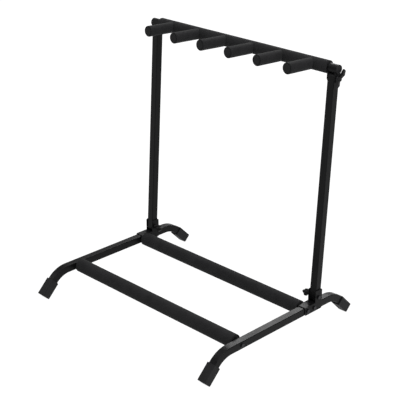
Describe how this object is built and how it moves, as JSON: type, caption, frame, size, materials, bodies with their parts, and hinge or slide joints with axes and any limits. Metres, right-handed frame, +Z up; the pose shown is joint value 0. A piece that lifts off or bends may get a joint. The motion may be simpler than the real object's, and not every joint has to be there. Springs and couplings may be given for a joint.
{
  "type": "guitar rack",
  "caption": "Folding floor rack: bent side rails on rubber boots carry foam rest bars, and leaning uprights hold a foam-covered neck bar with forward fingers.",
  "frame": {"origin": "centre of the footprint on the floor", "axes": "+X to the right across the rack, -Y to the front, the way the fingers point, +Z up"},
  "size_m": [0.7174, 0.5956, 0.7622],
  "materials": {
    "frame_steel": "satin",
    "bracket_steel": "satin",
    "foam": "matte",
    "boot_rubber": "matte",
    "black_bolt": "satin",
    "black_plastic": "matte",
    "knob_plastic": "satin",
    "insert_metal": "satin"
  },
  "bodies": {
    "base": {"left_side_rail": "frame_steel", "right_side_rail": "frame_steel", "front_left_boot": "boot_rubber", "rear_left_boot": "boot_rubber", "front_right_boot": "boot_rubber", "rear_right_boot": "boot_rubber", "left_pivot_bracket": "bracket_steel", "right_pivot_bracket": "bracket_steel", "front_rest_tube": "frame_steel", "front_rest_foam": "foam", "rear_rest_tube": "frame_steel", "rear_rest_foam": "foam", "rest_tube_plugs": "black_plastic", "rest_tube_bolts": "black_bolt", "bracket_bolts": "black_bolt", "bracket_nuts": "black_bolt", "left_lower_pivot_bolt": "black_bolt", "right_lower_pivot_bolt": "black_bolt"},
    "uprights": {"left_upright": "frame_steel", "left_upright_top_cap": "black_plastic", "left_upright_foot_cap": "black_plastic", "right_upright": "frame_steel", "right_upright_top_cap": "black_plastic", "right_upright_foot_cap": "black_plastic"},
    "neck_bar": {"neck_bar_tube": "frame_steel", "neck_bar_foam": "foam", "left_t_bracket": "bracket_steel", "left_neck_bar_cap": "black_plastic", "left_upper_pivot_bolt": "black_bolt", "right_t_bracket": "bracket_steel", "right_neck_bar_cap": "black_plastic", "right_upper_pivot_bolt": "black_bolt", "finger_tube_1": "frame_steel", "finger_foam_1": "foam", "finger_cap_1": "black_plastic", "finger_tube_2": "frame_steel", "finger_foam_2": "foam", "finger_cap_2": "black_plastic", "finger_tube_3": "frame_steel", "finger_foam_3": "foam", "finger_cap_3": "black_plastic", "finger_tube_4": "frame_steel", "finger_foam_4": "foam", "finger_cap_4": "black_plastic", "finger_tube_5": "frame_steel", "finger_foam_5": "foam", "finger_cap_5": "black_plastic", "finger_tube_6": "frame_steel", "finger_foam_6": "foam", "finger_cap_6": "black_plastic"},
    "left_lower_knob": {"left_lower_knob": "knob_plastic", "left_lower_knob_insert": "insert_metal"},
    "left_upper_knob": {"left_upper_knob": "knob_plastic", "left_upper_knob_insert": "insert_metal"},
    "right_lower_knob": {"right_lower_knob": "knob_plastic", "right_lower_knob_insert": "insert_metal"},
    "right_upper_knob": {"right_upper_knob": "knob_plastic", "right_upper_knob_insert": "insert_metal"}
  },
  "joints": [
    {"name": "uprights_fold", "type": "hinge", "parent": "base", "child": "uprights", "pos_m": [0, 0.14825, 0.09556], "axis": [1, 0, 0], "range_deg": [0, 92.3]},
    {"name": "neck_fold", "type": "hinge", "parent": "uprights", "child": "neck_bar", "pos_m": [0, 0.18345, 0.71547], "axis": [1, 0, 0], "range_deg": [0, 90]},
    {"name": "left_lower_knob_turn", "type": "hinge", "parent": "base", "child": "left_lower_knob", "pos_m": [-0.318, 0.14825, 0.09556], "axis": [1, 0, 0], "continuous": true},
    {"name": "left_upper_knob_turn", "type": "hinge", "parent": "neck_bar", "child": "left_upper_knob", "pos_m": [-0.3452, 0.18345, 0.71547], "axis": [-1, 0, 0], "continuous": true},
    {"name": "right_lower_knob_turn", "type": "hinge", "parent": "base", "child": "right_lower_knob", "pos_m": [0.318, 0.14825, 0.09556], "axis": [-1, 0, 0], "continuous": true},
    {"name": "right_upper_knob_turn", "type": "hinge", "parent": "neck_bar", "child": "right_upper_knob", "pos_m": [0.3452, 0.18345, 0.71547], "axis": [1, 0, 0], "continuous": true}
  ]
}
